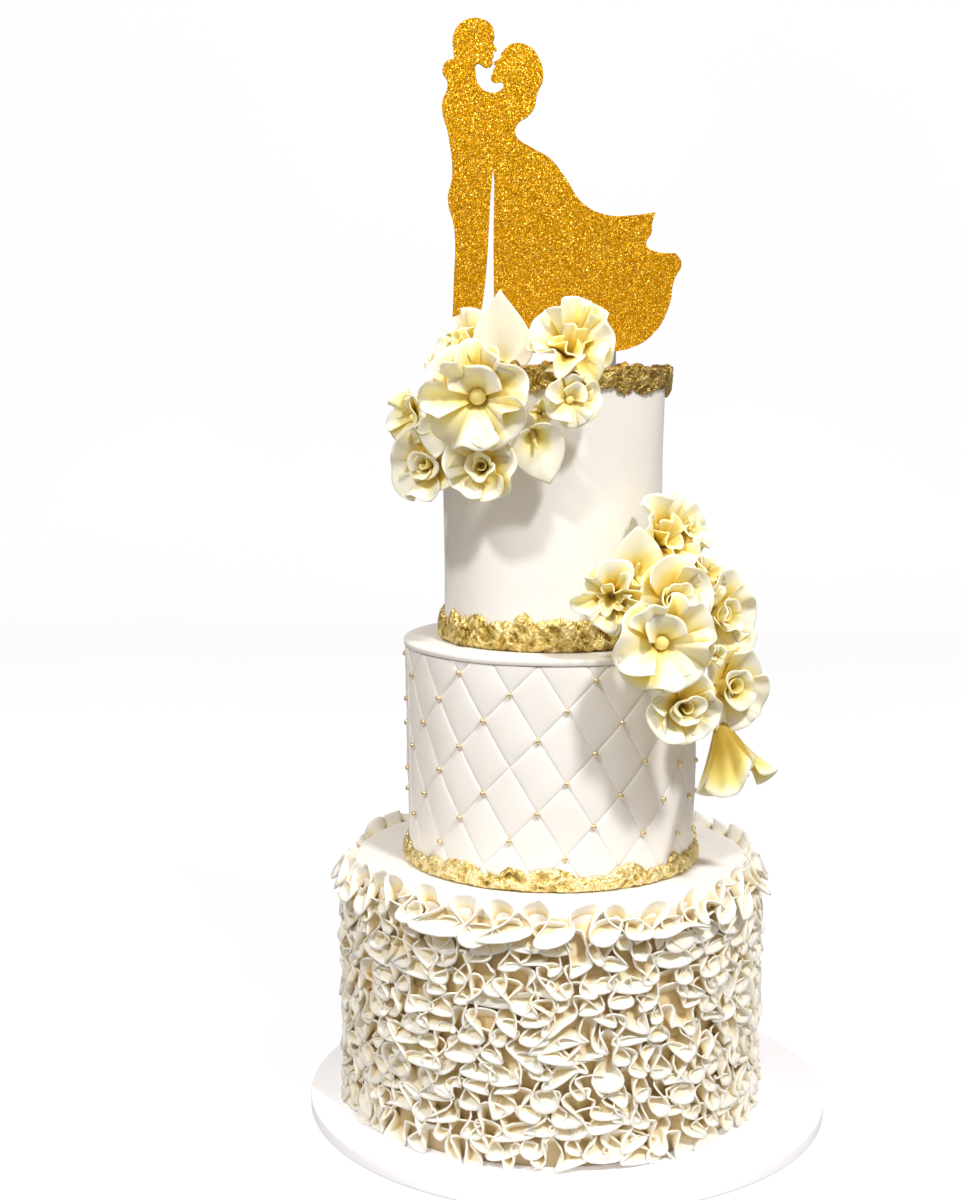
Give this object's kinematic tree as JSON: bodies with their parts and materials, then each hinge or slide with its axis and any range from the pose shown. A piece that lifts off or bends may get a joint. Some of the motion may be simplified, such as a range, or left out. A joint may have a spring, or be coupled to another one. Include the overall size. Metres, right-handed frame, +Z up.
{
  "type": "tiered wedding cake",
  "caption": "Tall tiered wedding cake on a round board: frilled, quilted and plain fondant tiers, gold bands, sugar flowers and a flat glitter topper of a dancing couple.",
  "frame": {"origin": "centre of the round board's underside", "axes": "+Z up through the tiers; -Y is the front, the side with the flowers; +X is the right-hand side seen from the front"},
  "size_m": [0.376, 0.375, 0.774],
  "materials": {
    "board": "white paper-covered cake drum, satin",
    "frilled_fondant": "ivory rolled fondant, matte",
    "fondant": "white rolled fondant, matte to satin",
    "gold": "crumpled fondant under antique gold paint",
    "glitter": "gold glitter card",
    "clear_stick": "clear",
    "sugar_petal": "cream sugar paste, matte"
  },
  "bodies": {
    "root": {"cake_board": "board", "bottom_tier": "frilled_fondant", "middle_tier": "fondant", "middle_tier_lid": "fondant", "middle_base_band": "gold", "top_tier": "fondant", "top_base_band": "gold", "top_rim_band": "gold", "topper": "glitter", "topper_stick_left": "clear_stick", "topper_stick_right": "clear_stick", "upper_big_blossom": "sugar_petal", "upper_rose_front": "sugar_petal", "upper_calla_low": "sugar_petal", "upper_small_blossom": "sugar_petal", "upper_ruffle": "sugar_petal", "upper_calla_high": "sugar_petal", "upper_rose_left": "sugar_petal", "upper_blossom_left": "sugar_petal", "upper_calla_left": "sugar_petal", "upper_ruffle_back": "sugar_petal", "upper_bud_left": "sugar_petal", "upper_bud_middle": "sugar_petal", "side_big_blossom": "sugar_petal", "side_ruffle_left": "sugar_petal", "side_rose_middle": "sugar_petal", "side_calla": "sugar_petal", "side_rose_low": "sugar_petal", "side_rose_right": "sugar_petal", "side_rose_back": "sugar_petal", "side_ruffle_high": "sugar_petal", "side_ruffle_back": "sugar_petal", "side_bud_high": "sugar_petal", "side_bud_middle": "sugar_petal", "side_lily": "sugar_petal"}
  },
  "joints": []
}
